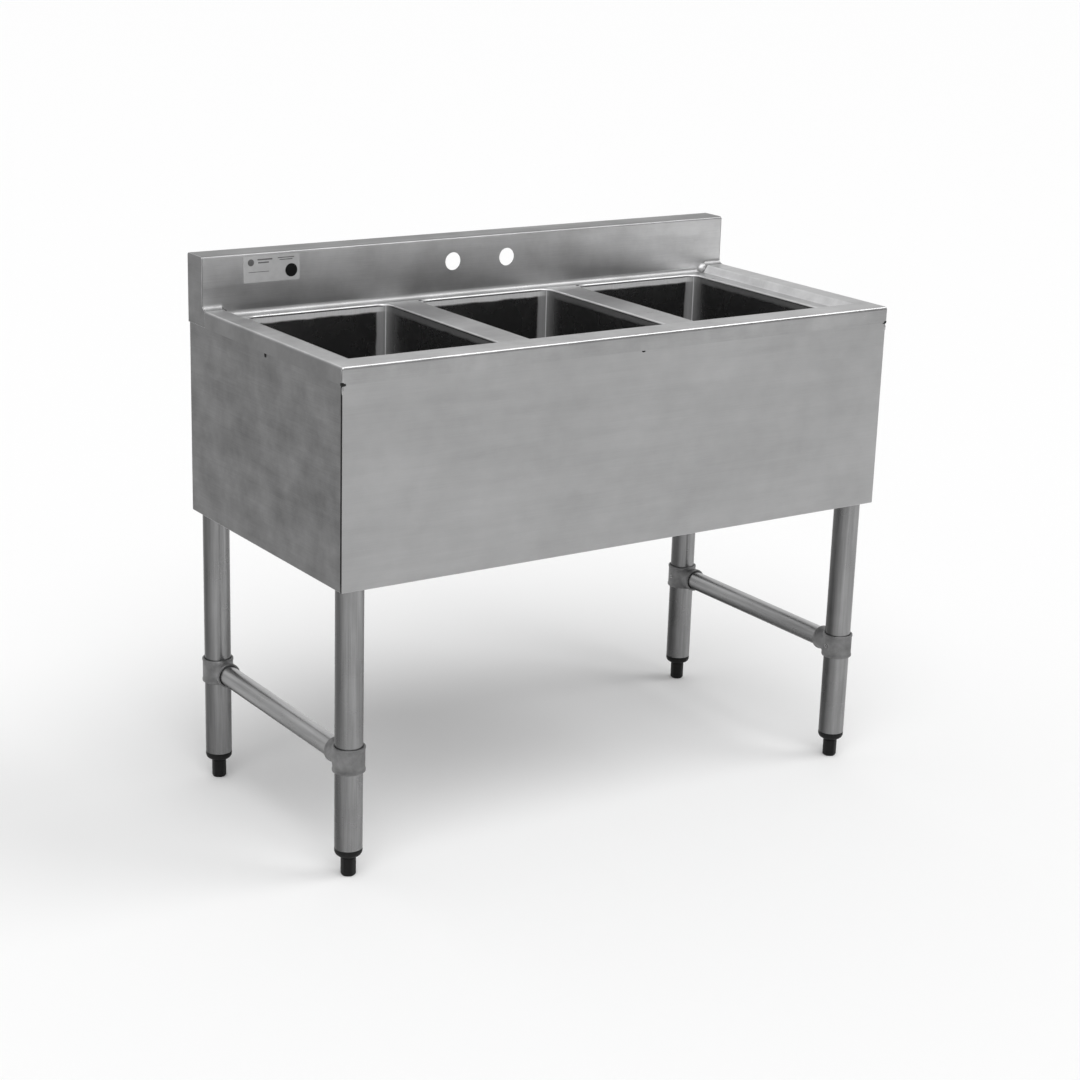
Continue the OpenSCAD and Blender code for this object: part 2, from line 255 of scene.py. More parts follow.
class Nodes:
    """A short way to build one material's node tree."""

    def __init__(self, name):
        self.material = bpy.data.materials.new(name)
        self.material.use_nodes = True
        self.tree = self.material.node_tree
        self.shader = self.tree.nodes["Principled BSDF"]
        self.place = self.add("ShaderNodeTexCoord").outputs["Object"]

    def add(self, kind, **inputs):
        node = self.tree.nodes.new(kind)
        for name, value in inputs.items():
            self.give(node.inputs[name.replace("_", " ")], value)
        return node

    def give(self, socket, value):
        if isinstance(value, bpy.types.NodeSocket):
            self.tree.links.new(value, socket)
        else:
            socket.default_value = value

    def set(self, **inputs):
        for name, value in inputs.items():
            self.give(self.shader.inputs[name.replace("_", " ")], value)

    def noise(self, scale, detail=4, stretch=(1, 1, 1), roughness=0.55):
        """Noise in the object's own metres; stretch multiplies the scale along each axis."""
        mapping = self.add("ShaderNodeMapping", Vector=self.place, Scale=stretch)
        node = self.add("ShaderNodeTexNoise", Vector=mapping.outputs[0])
        node.inputs["Scale"].default_value = scale
        node.inputs["Detail"].default_value = detail
        node.inputs["Roughness"].default_value = roughness
        return node.outputs["Fac"]

    def remap(self, value, low, high, to_low, to_high):
        node = self.add("ShaderNodeMapRange")
        for socket, number in zip(node.inputs, (value, low, high, to_low, to_high)):
            self.give(socket, number)
        return node.outputs[0]

    def math(self, operation, *values):
        node = self.tree.nodes.new("ShaderNodeMath")
        node.operation = operation
        for socket, value in zip(node.inputs, values):
            self.give(socket, value)
        return node.outputs[0]

    def ramp(self, factor, *stops):
        """A colour ramp through (position, grey level) stops."""
        node = self.add("ShaderNodeValToRGB", Fac=factor)
        elements = node.color_ramp.elements
        while len(elements) < len(stops):
            elements.new(0.5)
        for element, (position, grey) in zip(elements, stops):
            element.position = position
            element.color = (grey, grey, grey * 1.005, 1)
        return node.outputs[0]

    def facing(self):
        """How squarely a surface faces along X, along Y and along Z, each from 0 to 1."""
        normal = self.tree.nodes["Texture Coordinate"].outputs["Normal"]
        parts = self.add("ShaderNodeSeparateXYZ", Vector=normal).outputs
        return [self.math("MULTIPLY", part, part) for part in parts]

    def outward(self):
        """How squarely a surface faces out of the sink's ends and out of its front, each from 0 to 1."""
        normal = self.tree.nodes["Texture Coordinate"].outputs["Normal"]
        x, y, _ = self.add("ShaderNodeSeparateXYZ", Vector=normal).outputs
        side = self.math("SIGN", self.add("ShaderNodeSeparateXYZ", Vector=self.place).outputs[0])
        end = self.math("MAXIMUM", self.math("MULTIPLY", x, side), 0)
        front = self.math("MAXIMUM", self.math("MULTIPLY", y, -1), 0)
        return self.math("POWER", end, 4), self.math("POWER", front, 4)

    def toward(self, direction):
        """The cosine between the surface's normal and a fixed direction."""
        node = self.tree.nodes.new("ShaderNodeVectorMath")
        node.operation = "DOT_PRODUCT"
        self.give(node.inputs[0], self.tree.nodes["Texture Coordinate"].outputs["Normal"])
        self.give(node.inputs[1], direction)
        return node.outputs["Value"]

    def shade(self, colour, grey):
        """Multiplies a colour by a grey level."""
        node = self.tree.nodes.new("ShaderNodeVectorMath")
        node.operation = "SCALE"
        self.give(node.inputs["Vector"], colour)
        self.give(node.inputs["Scale"], grey)
        return node.outputs[0]

    def bump(self, height, distance, strength=1.0, under=None):
        node = self.add("ShaderNodeBump", Height=height, Distance=distance, Strength=strength)
        if under is not None:
            self.give(node.inputs["Normal"], under)
        return node.outputs[0]


def brushed_steel(name, grey, along, roughness, smudge=0.10, front=0.66, cloud_scale=7, painted_bend_highlight=0):
    """Stainless sheet with its grain along one axis, faint smudges and the sheet's slow ripples.

    front is the tone of its front faces relative to its level faces, and the end-face constant above is that
    of its end faces; both are painted shade and painted light by which way a face looks.
    The last argument is how much paler its bends are: a painted highlight.
    """
    n = Nodes(name)
    fine = tuple(1 if axis == along else 90 for axis in "xyz")
    coarse = tuple(1 if axis == along else 14 for axis in "xyz")
    lines = n.noise(16, detail=6, stretch=fine, roughness=0.7)
    streaks = n.noise(5, detail=4, stretch=coarse)
    clouds = n.noise(cloud_scale, detail=6, roughness=0.6)
    spots = n.noise(38, detail=3)
    tone = n.math("ADD", n.math("MULTIPLY", lines, 0.35), n.math("MULTIPLY", clouds, 0.65))
    # Faces out of the ends and out of the front are painted darker than level faces, or lighter on the
    # backsplash's front: painted shade and painted light.
    across_x, across_y = n.outward()
    darker_x = n.math("MULTIPLY", across_x, END_PAINTED_SHADE - 1)
    darker_y = n.math("MULTIPLY", across_y, front - 1)
    darker = n.math("ADD", darker_x, darker_y)
    facing_x, facing_y, facing_z = n.facing()
    # Bends between level and upright faces are painted paler, mottled by the spots: a painted highlight.
    bend = n.math("MULTIPLY", facing_z, n.math("ADD", facing_x, facing_y))
    paler = n.math("MULTIPLY", n.math("MULTIPLY", bend, 4 * painted_bend_highlight), n.remap(spots, 0.3, 0.7, 0.5, 1))
    n.set(
        Metallic=1.0,
        Base_Color=n.shade(
            n.ramp(tone, (0.3, grey * (1 - smudge)), (0.7, grey * (1 + smudge))),
            n.math("ADD", n.math("ADD", darker, paler), 1.0),
        ),
        Roughness=n.math(
            "ADD",
            n.remap(streaks, 0.3, 0.7, roughness - 0.05, roughness + 0.05),
            n.remap(spots, 0.35, 0.75, -0.02, 0.05),
        ),
        Anisotropic=0.45,
    )
    slow = n.bump(n.noise(3.2, detail=2), 0.42 * MM)
    n.set(Normal=n.bump(lines, 0.03 * MM, 1.0, slow))
    return n.material


def bowl_steel():
    """Bowl sheet with ground, rougher bands where the welds of its corners and top edge were dressed. Its
    walls are darker than the deck's sheet: painted shade inside the bowls. The bands are paler, partly for
    their ground finish and partly as painted highlight: the top band on walls facing the front and the rear,
    and each corner band more on one side of its diagonal, with a painted highlight along its seam.
    """
    n = Nodes("bowl_steel")
    x, y, z = n.add("ShaderNodeSeparateXYZ", Vector=n.place).outputs
    beside = n.math("ABSOLUTE", n.math("WRAP", x, BOWL_PITCH / 2, -BOWL_PITCH / 2))
    along = n.math("ABSOLUTE", n.math("SUBTRACT", y, BOWL_Y))
    wander = n.noise(30, detail=4)
    edge = n.math("MULTIPLY", n.math("SUBTRACT", wander, 0.5), 5 * MM)
    u = n.math("SUBTRACT", beside, BOWL_HALF_W - COVE)
    v = n.math("SUBTRACT", along, BOWL_HALF_L - COVE)
    in_u = n.remap(n.math("ADD", u, edge), -2 * MM, 1 * MM, 0, 1)
    in_v = n.remap(n.math("ADD", v, edge), -2 * MM, 1 * MM, 0, 1)
    corner = n.math("MULTIPLY", in_u, in_v)
    across = n.math("SUBTRACT", v, u)
    seam = n.math("MULTIPLY", corner, n.remap(n.math("ABSOLUTE", across), 0.5 * MM, 2 * MM, 1, 0))
    facing_x, facing_y, _ = n.facing()
    top = n.remap(n.math("ADD", z, edge), DECK_Z - 14 * MM, DECK_Z - 11 * MM, 0, 1)
    # Painted light: the top band is paler on walls facing the front and the rear than on walls facing the
    # ends.
    top_painted_light = n.math("ADD", n.math("MULTIPLY", facing_x, 0.38), n.math("MULTIPLY", facing_y, 1.4))
    # Painted light and shade: each corner band is paler on one side of its diagonal than on the other.
    corner_painted_light = n.math("MULTIPLY", corner, n.remap(across, -COVE, COVE, 0.5, 1.05))
    tone = n.math("MAXIMUM", n.math("MULTIPLY", top, top_painted_light), corner_painted_light)
    # Painted highlight along each corner's seam. Elsewhere the walls keep half tone, a sheet darker than the
    # deck: painted shade inside the bowls.
    tone = n.math("MAXIMUM", n.math("MAXIMUM", tone, n.math("MULTIPLY", seam, 1.45)), 0.5)
    dressed = n.math("MAXIMUM", corner, top)
    ground = n.math("MAXIMUM", seam, n.math("MULTIPLY", top, facing_y))
    grit = n.noise(24, detail=6, stretch=(40, 40, 1), roughness=0.6)
    n.set(
        Metallic=n.remap(ground, 0, 1, 1, 0.45),
        Base_Color=n.shade(n.ramp(grit, (0.25, 0.6), (0.75, 0.74)), tone),
        Roughness=n.math("ADD", n.remap(dressed, 0, 1, 0.24, 0.52), n.math("MULTIPLY", wander, 0.06)),
        Normal=n.bump(grit, 0.006 * MM),
    )
    return n.material


def tube_steel(name, along, bands, painted_light_axis=None):
    """Drawn tube: long streaks, and bands of tone by how far it faces up, which are painted reflection.

    The level direction, if given, marks where the tube is painted lighter: faces along it stay light and
    faces at right angles to it are painted dull, as painted shade on its edges.
    """
    n = Nodes(name)
    wide = tuple(0.05 if axis == along else 1 for axis in "xyz")
    fine = tuple(0.02 if axis == along else 1 for axis in "xyz")
    streaks = n.noise(110, detail=3, stretch=wide)
    lines = n.noise(700, detail=4, stretch=fine)
    stains = n.noise(20, detail=5)
    tone = n.math("ADD", n.remap(streaks, 0.3, 0.7, 0.82, 1.20), n.remap(lines, 0.3, 0.7, -0.08, 0.08))
    tone = n.math("MULTIPLY", tone, n.remap(stains, 0.3, 0.7, 0.92, 1.06))
    if painted_light_axis:
        # Painted shade: the tube is dull where it faces across the given direction, at its edges as seen from
        # the front.
        sides = n.math("POWER", n.math("ABSOLUTE", n.toward(painted_light_axis)), 2)
        tone = n.math("MULTIPLY", tone, n.remap(sides, 0.05, 0.9, 0.35, 1.1))
    # Tone by how far the tube faces up, from the bands: painted reflection on the rail, flat on the legs.
    upward = n.remap(n.toward((0, 0, 1)), -1, 1, 0, 1)
    n.set(
        Metallic=1.0,
        Base_Color=n.shade(n.ramp(upward, *bands), tone),
        Roughness=n.remap(stains, 0.3, 0.7, 0.24, 0.34),
        Normal=n.bump(lines, 0.01 * MM),
    )
    return n.material


def plain_metal(name, grey, roughness, metallic=1.0, pitting=0.06 * MM, mottle=0.12, scale=400):
    """Cast, galvanised or polished metal: mottled tone with fine pitting."""
    n = Nodes(name)
    clouds = n.noise(scale / 12, detail=5)
    grains = n.noise(scale, detail=4)
    n.set(
        Metallic=metallic,
        Base_Color=n.ramp(clouds, (0.3, grey * (1 - mottle)), (0.7, grey * (1 + mottle))),
        Roughness=n.remap(grains, 0.3, 0.7, roughness - 0.06, roughness + 0.08),
        Normal=n.bump(grains, pitting),
    )
    return n.material


def moulded(name, grey, roughness, texture=0.04 * MM, dusty=1.7, shine=0.5):
    """Moulded plastic or rubber with a fine texture and dusty patches."""
    n = Nodes(name)
    dust = n.noise(90, detail=5)
    grains = n.noise(1500, detail=2)
    n.set(
        Specular_IOR_Level=shine,
        Base_Color=n.ramp(dust, (0.4, grey), (0.75, grey * dusty)),
        Roughness=n.remap(dust, 0.3, 0.7, roughness - 0.06, roughness + 0.1),
        Normal=n.bump(grains, texture),
    )
    return n.material


# Every brushed steel here is painted darker on faces out of the sink's ends and, all but the backsplash, on
# faces out of its front: painted shade.
STEEL_DECK = brushed_steel("deck_steel", 0.55, "x", 0.34, smudge=0.2, cloud_scale=14, painted_bend_highlight=0.45)
# The backsplash's level top is painted darker than the deck and its front face over twice as light as its
# top: painted shade and painted light.
STEEL_SPLASH = brushed_steel("splash_steel", 0.30, "x", 0.42, smudge=0.2, front=2.15, cloud_scale=12)
STEEL_FRONT = brushed_steel("front_steel", 0.60, "x", 0.40, smudge=0.12)
STEEL_END = brushed_steel("end_steel", 0.58, "y", 0.42, smudge=0.34, cloud_scale=17)
STEEL_BOWL = bowl_steel()
STEEL_MILL = brushed_steel("mill_steel", 0.38, "y", 0.45)
STEEL_CHANNEL = brushed_steel("channel_steel", 0.38, "x", 0.45)
# The legs are painted dull on their sides as seen from the front: painted shade.
STEEL_LEG = tube_steel("leg_steel", "z", [(0, 0.25), (1, 0.25)], painted_light_axis=(0.13, 0.99, 0))
# The rail's tone by how far it faces up: painted reflection, dark beneath and paler toward the top, with a
# darker line just below the top.
RAIL_PAINTED_REFLECTION = [
    (0, 0.02),
    (0.25, 0.05),
    (0.36, 0.15),
    (0.45, 0.25),
    (0.62, 0.25),
    (0.74, 0.29),
    (0.86, 0.43),
    (0.95, 0.38),
    (1, 0.5),
]
STEEL_RAIL = tube_steel("rail_steel", "y", RAIL_PAINTED_REFLECTION)
CAST = plain_metal("cast_zinc", 0.20, 0.50, metallic=0.75, pitting=0.10 * MM, mottle=0.3, scale=520)
DIE_CAST = plain_metal("die_cast", 0.34, 0.45, metallic=0.9)
POLISHED = plain_metal("polished_steel", 0.62, 0.16, pitting=0.01 * MM, mottle=0.05, scale=300)
WELD = plain_metal("weld_metal", 0.60, 0.50, pitting=0.08 * MM, mottle=0.16, scale=500)
SCREW = plain_metal("screw_steel", 0.40, 0.34, pitting=0.02 * MM, mottle=0.08, scale=600)
BLACK = moulded("black_plastic", 0.007, 0.50, shine=0.18)
RUBBER = moulded("gasket_rubber", 0.015, 0.72, shine=0.3)
STICKER = moulded("label_foil", 0.50, 0.42, texture=0.01 * MM, dusty=1.12)
INK_DARK = moulded("label_black", 0.006, 0.40, texture=0.01 * MM, shine=0.15)
INK_GREY = moulded("label_grey", 0.12, 0.45, texture=0.01 * MM)
# Near-black: burnt spots and tacks, and painted shade in the reliefs, the grooves and a pit.
SCORCH_AND_PAINTED_SHADE = moulded("scorch_and_painted_shade", 0.006, 0.85)
# Near-black end faces of the aprons: painted shade in the seams where they meet.
APRON_EDGE_PAINTED_SHADE = plain_metal("apron_edge_painted_shade", 0.07, 0.6)


# ---- deck ------------------------------------------------------------------------------------------


def rim_profile():
    """Points (offset from the end, offset from the front, height) from the flange's foot to the deck."""
    corners = [
        (0, 0, FLANGE_Z),
        (0, 0, RIM_Z),
        (RIM_SIDE, RIM_FRONT, RIM_Z),
        (RIM_SIDE + STEP_SIDE, RIM_FRONT + STEP_FRONT, DECK_Z),
        (RIM_SIDE + STEP_SIDE + 5 * MM, RIM_FRONT + STEP_FRONT + 1 * MM, DECK_Z),
    ]
    return blend_corners(corners, (EDGE_BEND, STEP_BLEND, STEP_BLEND), steps=5)


def rim_ring(side_in, front_in, z, rear_y):
    """One line around the left end, the front and the right end, with small round corners.

    Below the bend, a groove beside each corner marks the flange's welded mitre, and the flange's
    foot is notched at the corner.
    """
    radius = RIM_CORNER_R
    x = END_X - side_in
    y = FRONT_Y + front_in
    corner = arc(x - radius, y + radius, radius, 270, 360, 4)
    if z < RIM_Z - EDGE_BEND:
        corner[3] = (corner[3][0] - GROOVE, corner[3][1] + GROOVE / 2)
    lift = NOTCH_H if z == FLANGE_Z else 0
    right = [(x - radius - NOTCH_W, y, z), *[(px, py, z + lift) for px, py in corner]]
    right += [(x, y + radius + NOTCH_W, z), (x, rear_y, z)]
    left = [(-px, py, pz) for px, py, pz in reversed(right)]
    return left + right


def opening_loop(index, grow, z):
    """A bowl opening's outline, grown by grow."""
    loop = rounded_rect(BOWL_HALF_W + grow, BOWL_HALF_L + grow, COVE + grow)
    return [(x + index * BOWL_PITCH, y + BOWL_Y, z) for x, y in loop]


def build_deck():
    bm = bmesh.new()
    rear_y = SPLASH_Y - SPLASH_COVE
    rings = [rim_ring(side, front, z, rear_y) for side, front, z in rim_profile()]
    rows = add_rows(bm, rings)
    holes = []
    for index in (-1, 0, 1):
        loops = []
        for i in range(6):
            a = math.radians(90 * i / 5)
            loops.append(opening_loop(index, ROLL * (1 - math.sin(a)), DECK_Z - ROLL * (1 - math.cos(a))))
        loops.append(opening_loop(index, 0, DECK_Z - ROLL - 1 * MM))
        holes.append(add_rows(bm, loops, closed=True, flip=True)[0])
    fill_with_holes(bm, rows[-1], holes, (0, 0, 1))
    bmesh.ops.recalc_face_normals(bm, faces=bm.faces)
    point_up(bm)
    obj = thicken(finish_mesh(bm, "deck_sheet"))
    return place(weighted(obj), STEEL_DECK, "root", ["deck"])


def point_up(bm):
    """Turns an open skin over if most of its area faces down."""
    if sum(f.normal.z * f.calc_area() for f in bm.faces) < 0:
        bmesh.ops.reverse_faces(bm, faces=bm.faces)


# ---- backsplash ------------------------------------------------------------------------------------


def splash_columns():
    """(x, foot height) along the backsplash's foot, which follows the rim, the step and the deck."""
    half = [(END_X - SHEET, RIM_Z)]
    half += [(END_X - side, z) for side, _, z in rim_profile() if side > EDGE_BEND * 1.2]
    return [(-x, z) for x, z in half] + [(x, z) for x, z in reversed(half)]


def build_backsplash():
    bm = bmesh.new()
    columns = splash_columns()
    rows = []
    for y_in, rise in arc(SPLASH_COVE, SPLASH_COVE, SPLASH_COVE, 270, 180, 6):
        rows.append([(x, SPLASH_Y - y_in, foot + rise) for x, foot in columns])
    foot = add_rows(bm, rows)
    over = [(SPLASH_Y, TOP_Z - SPLASH_BEND)]
    over += [(SPLASH_Y + y, TOP_Z + z) for y, z in arc(SPLASH_BEND, -SPLASH_BEND, SPLASH_BEND, 180, 90, 5)]
    over += [(REAR_Y + y, TOP_Z + z) for y, z in arc(-SPLASH_BEND, -SPLASH_BEND, SPLASH_BEND, 90, 0, 5)]
    over += [(REAR_Y, TOP_Z - SPLASH_LIP)]
    head = add_rows(bm, [[(x, y, z) for x, _ in columns] for y, z in over])
    holes = []
    for side in (-1, 1):
        circle = arc(side * FAUCET_PITCH / 2, FAUCET_Z, FAUCET_R, 0, 360, 48)[:-1]
        holes.append([bm.verts.new((x, SPLASH_Y, z)) for x, z in circle])
    fill_with_holes(bm, foot[-1] + head[0][::-1], holes, (0, -1, 0))
    weld_points(bm)
    if sum(f.normal.y * f.calc_area() for f in bm.faces) > 0:
        bmesh.ops.reverse_faces(bm, faces=bm.faces)
    obj = thicken(finish_mesh(bm, "backsplash_sheet"))
    return place(weighted(obj), STEEL_SPLASH, "root", ["backsplash"])


def build_splash_cap(name, side):
    """The end of the backsplash, flush with the deck's flange, with a curve where it meets the rim."""
    outline = [(SPLASH_Y - SPLASH_COVE, FLANGE_Z), (REAR_Y, FLANGE_Z)]
    outline += [(REAR_Y + y, TOP_Z + z) for y, z in arc(-SPLASH_BEND, -SPLASH_BEND, SPLASH_BEND, 0, 90, 5)]
    outline += [(SPLASH_Y + y, TOP_Z + z) for y, z in arc(SPLASH_BEND, -SPLASH_BEND, SPLASH_BEND, 90, 180, 5)]
    outline += [
        (SPLASH_Y - SPLASH_COVE + y, RIM_Z + SPLASH_COVE + z) for y, z in arc(0, 0, SPLASH_COVE, 0, -90, 6)
    ]
    bm = bmesh.new()
    sides = [[bm.verts.new((side * x, y, z)) for y, z in outline] for x in (END_X, END_X - SHEET)]
    bm.faces.new(sides[0])
    bm.faces.new(sides[1][::-1])
    for i in range(len(outline)):
        j = (i + 1) % len(outline)
        bm.faces.new([sides[0][j], sides[0][i], sides[1][i], sides[1][j]])
    bmesh.ops.recalc_face_normals(bm, faces=bm.faces)
    obj = soften(finish_mesh(bm, f"splash_cap_{name}"), 1 * MM, segments=3, angle_deg=60)
    return place(weighted(obj), STEEL_END, "root", [f"backsplash_cap_{name}"])


# ---- bowls -----------------------------------------------------------------------------------------

DRAIN_HOLE_R = 44.45 * MM
FLOOR_FALL = 2 * MM
CREASE = 0.9 * MM
SEAM_RIDGE = 0.25 * MM
CORNER_STEPS = 6
SIDE_STEPS = 6
CORNER_PERIOD = CORNER_STEPS + SIDE_STEPS


def is_corner_middle(i):
    """Whether a loop's point is the middle of a corner."""
    return i % CORNER_PERIOD == SIDE_STEPS - 1 + CORNER_STEPS // 2


def bowl_loop(inset, z):
    """The bowl's inside at one height. A fine ridge marks the welded seam in each corner."""
    radius = max(COVE - inset, 0.8 * MM)
    loop = rounded_rect(BOWL_HALF_W - inset, BOWL_HALF_L - inset, radius, CORNER_STEPS, SIDE_STEPS)
    points = []
    for i, (x, y) in enumerate(loop):
        pull = 1 - SEAM_RIDGE / math.hypot(x, y) if is_corner_middle(i) else 1
        points.append((x * pull, y * pull, z))
    return points


def build_bowl(name, centre_x):
    loops = [bowl_loop(0, z) for z in (DECK_Z - ROLL, DECK_Z - 40 * MM, FLOOR_Z + 120 * MM)]
    for inset, rise in arc(COVE, COVE, COVE, 180, 270, 8):
        loops.append(bowl_loop(inset, FLOOR_Z + FLOOR_FALL + rise * (COVE - FLOOR_FALL) / COVE))
    edge = loops[-1]
    for step in range(1, 9):
        t = step / 8
        loop = []
        for i, (x, y, _) in enumerate(edge):
            a = math.atan2(y, x)
            px = x * (1 - t) + DRAIN_HOLE_R * math.cos(a) * t
            py = y * (1 - t) + DRAIN_HOLE_R * math.sin(a) * t
            dip = CREASE * math.sin(math.pi * t) if is_corner_middle(i) else 0
            loop.append((px, py, FLOOR_Z + FLOOR_FALL * (1 - t) - dip * (1 - t)))
        loops.append(loop)
    bm = bmesh.new()
    rows = [[(x + centre_x, y + BOWL_Y, z) for x, y, z in loop] for loop in loops]
    add_rows(bm, rows, closed=True, flip=True)
    bmesh.ops.recalc_face_normals(bm, faces=bm.faces)
    point_up(bm)
    obj = thicken(finish_mesh(bm, f"bowl_{name}_sheet"))
    return place(weighted(obj), STEEL_BOWL, "root", [f"bowl_{name}"])


# ---- aprons ----------------------------------------------------------------------------------------

HEM = 12 * MM
APRON_RIPPLE = 0.5 * MM
APRON_CUT_H = 40 * MM
APRON_GAP = 3 * MM
WELD_GAP = 0.2 * MM


def folded_profile(low_z, top_z):
    """(depth behind the face, height) around a sheet with a closed hem folded up behind its foot."""
    fold = SHEET
    profile = [(0, top_z), (0, low_z + fold)]
    profile += arc(fold, low_z + fold, fold, 180, 360, 6)[1:]
    profile += [(2 * SHEET, low_z + HEM), (SHEET, low_z + HEM), (SHEET, top_z)]
    return profile


def ripple(u, v):
    """A slow dent in a sheet, from 0 to 1, and 0 at its edges. u and v run from 0 to 1."""
    waves = 0.5 + 0.25 * math.sin(7.1 * u + 2.3 * v) + 0.25 * math.sin(3.7 * v - 4.4 * u + 1.0)
    return waves * 16 * u * (1 - u) * v * (1 - v)


def build_apron(name, start, end, outward, tops, material):
    """An apron from start to end, two (x, y) points on its outer face.

    tops gives its top edge as (fraction of the way along, height) pairs.
    """
    start = Vector((*start, 0))
    run = Vector((*end, 0)) - start
    back = -Vector(outward)
    low_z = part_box(f"apron_{name}")[0].z
    rows = []
    for t, top_z in tops:
        row = []
        for depth, z in folded_profile(low_z, top_z):
            dent = APRON_RIPPLE * ripple(t, (z - low_z) / (top_z - low_z))
            p = start + run * t + back * (depth + dent)
            row.append((p.x, p.y, z))
        rows.append(row)
    bm = bmesh.new()
    verts = add_rows(bm, rows, closed=True)
    # The apron's two end faces take the near-black second material: painted shade for the seams where the
    # aprons meet.
    for edge in (verts[0], verts[-1][::-1]):
        bm.faces.new(edge).material_index = 1
    split_tall_faces(bm, APRON_CUT_H)
    # The points made by the split take their dents here, and a hem's own dents get deeper
    for v in bm.verts:
        t = (v.co - start).dot(run) / run.length_squared
        height = (v.co.z - low_z) / (RIM_Z - low_z)
        v.co += back * APRON_RIPPLE * ripple(min(max(t, 0), 1), min(max(height, 0), 1))
    weld_points(bm)
    obj = weighted(finish_mesh(bm, f"apron_{name}_sheet"))
    place(obj, material, "root", [f"apron_{name}"])
    obj.data.materials.append(APRON_EDGE_PAINTED_SHADE)


def build_aprons():
    """The front apron and the end aprons, whose top edges step down at the backsplash."""
    low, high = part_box("apron_front")
    tops = [(i / 48, high.z) for i in range(49)]
    build_apron("front", (low.x, low.y), (high.x, low.y), (0, -1, 0), tops, STEEL_FRONT)
    for name, side in SIDES.items():
        low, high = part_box(f"apron_{name}")
        start_y = low.y + APRON_GAP
        step = (SPLASH_Y - WELD_GAP - start_y) / (high.y - start_y)
        columns = sorted([i / 24 for i in range(25)] + [step, step + 0.0001])
        tops = [(t, high.z if t <= step else FLANGE_Z - WELD_GAP) for t in columns]
        x = side * max(abs(low.x), abs(high.x))
        build_apron(name, (x, start_y), (x, high.y), (side, 0, 0), tops, STEEL_END)


def split_tall_faces(bm, height):
    """Cuts a mesh at even heights, so that a tall flat face can ripple."""
    low = min(v.co.z for v in bm.verts)
    high = max(v.co.z for v in bm.verts)
    for i in range(1, int((high - low) / height)):
        geometry = [*bm.verts, *bm.edges, *bm.faces]
        bmesh.ops.bisect_plane(bm, geom=geometry, plane_co=(0, 0, low + i * height), plane_no=(0, 0, 1))


# ---- legs ------------------------------------------------------------------------------------------


def build_tube(name, node, axis, material):
    """A tube with chamfered ends that fills its CAD node's box along axis 1 or 2."""
    low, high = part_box(node)
    centre = (low + high) / 2
    radius = (high.x - low.x) / 2
    half = (high[axis] - low[axis]) / 2
    edge = 0.4 * MM
    wall = 1.5 * MM
    profile = [
        (radius - wall, -half),
        (radius - edge, -half),
        (radius, edge - half),
        (radius, half - edge),
        (radius - edge, half),
        (radius - wall, half),
    ]
    bm = bmesh.new()
    lathe(bm, profile, segments=96)
    weld_points(bm)
    if axis == 1:
        bmesh.ops.rotate(bm, verts=bm.verts, matrix=Matrix.Rotation(math.pi / 2, 3, "X"))
    bmesh.ops.translate(bm, verts=bm.verts, vec=centre)
    obj = weighted(finish_mesh(bm, name))
    return place(obj, material, "root", [node])


def surface_net(distance, low, high, step):
    """A smooth mesh of the surface where distance(x, y, z) is 0. Returns its points and quads."""
    axes = [np.arange(a, b + step, step) for a, b in zip(low, high)]
    grid = np.meshgrid(*axes, indexing="ij")
    field = distance(*grid)
    inside = field < 0
    cells = tuple(n - 1 for n in field.shape)
    total = np.zeros((*cells, 3))
    count = np.zeros(cells)
    crossings = []
    for axis in range(3):
        first = [slice(None)] * 3
        second = [slice(None)] * 3
        first[axis] = slice(0, -1)
        second[axis] = slice(1, None)
        first, second = tuple(first), tuple(second)
        hit = np.argwhere(inside[first] != inside[second])
        a = field[first][tuple(hit.T)]
        b = field[second][tuple(hit.T)]
        points = np.array([axes[k][hit[:, k]] for k in range(3)]).T
        points[:, axis] += step * a / (a - b)
        u, v = (axis + 1) % 3, (axis + 2) % 3
        keep = (hit[:, u] > 0) & (hit[:, v] > 0) & (hit[:, u] < cells[u]) & (hit[:, v] < cells[v])
        hit, points, a = hit[keep], points[keep], a[keep]
        corners = []
        for du, dv in ((1, 1), (0, 1), (0, 0), (1, 0)):
            cell = hit.copy()
            cell[:, u] -= du
            cell[:, v] -= dv
            np.add.at(total, tuple(cell.T), points)
            np.add.at(count, tuple(cell.T), 1)
            corners.append(cell)
        crossings.append((corners, a < 0))
    number = np.full(cells, -1)
    used = count > 0
    number[used] = np.arange(used.sum())
    points = total[used] / count[used][:, None]
    quads = []
    for corners, outward in crossings:
        ids = np.array([number[tuple(c.T)] for c in corners]).T
        ids[~outward] = ids[~outward][:, ::-1]
        quads += ids.tolist()
    return points, quads


def round_cylinder(radial, along, radius, half, edge):
    """Distance to a cylinder with round edges."""
    a = radial - (radius - edge)
    b = np.abs(along) - (half - edge)
    outside = np.hypot(np.maximum(a, 0), np.maximum(b, 0))
    return np.minimum(np.maximum(a, b), 0) + outside - edge


def smooth_union(a, b, size):
    blend = np.maximum(size - np.abs(a - b), 0) / size
    return np.minimum(a, b) - blend * blend * size / 4


# Past every size in the collar's distances, in millimetres
FAR = 1000
SCREW_HOLE_R = 3.1


